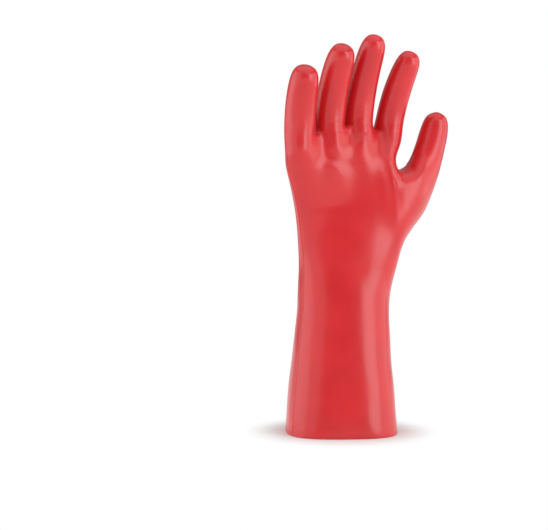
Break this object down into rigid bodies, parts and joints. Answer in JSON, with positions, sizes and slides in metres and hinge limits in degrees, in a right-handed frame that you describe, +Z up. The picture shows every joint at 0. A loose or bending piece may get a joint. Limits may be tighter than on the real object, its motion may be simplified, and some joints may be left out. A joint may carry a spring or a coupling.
{
  "type": "pvc coated work glove",
  "caption": "Long dipped gauntlet glove for the right hand, glossy red, standing open on its cuff with curved fingers and an outward thumb.",
  "frame": {"origin": "centre of the glove's box at the height of the cuff's open edge", "axes": "+Z up from the cuff's edge to the fingertips, palm facing -Y, thumb towards +X"},
  "size_m": [0.159, 0.0992, 0.3451],
  "materials": {
    "coating": "smooth glossy red PVC over knitted cotton"
  },
  "bodies": {
    "root": {"glove": "coating"}
  },
  "joints": []
}
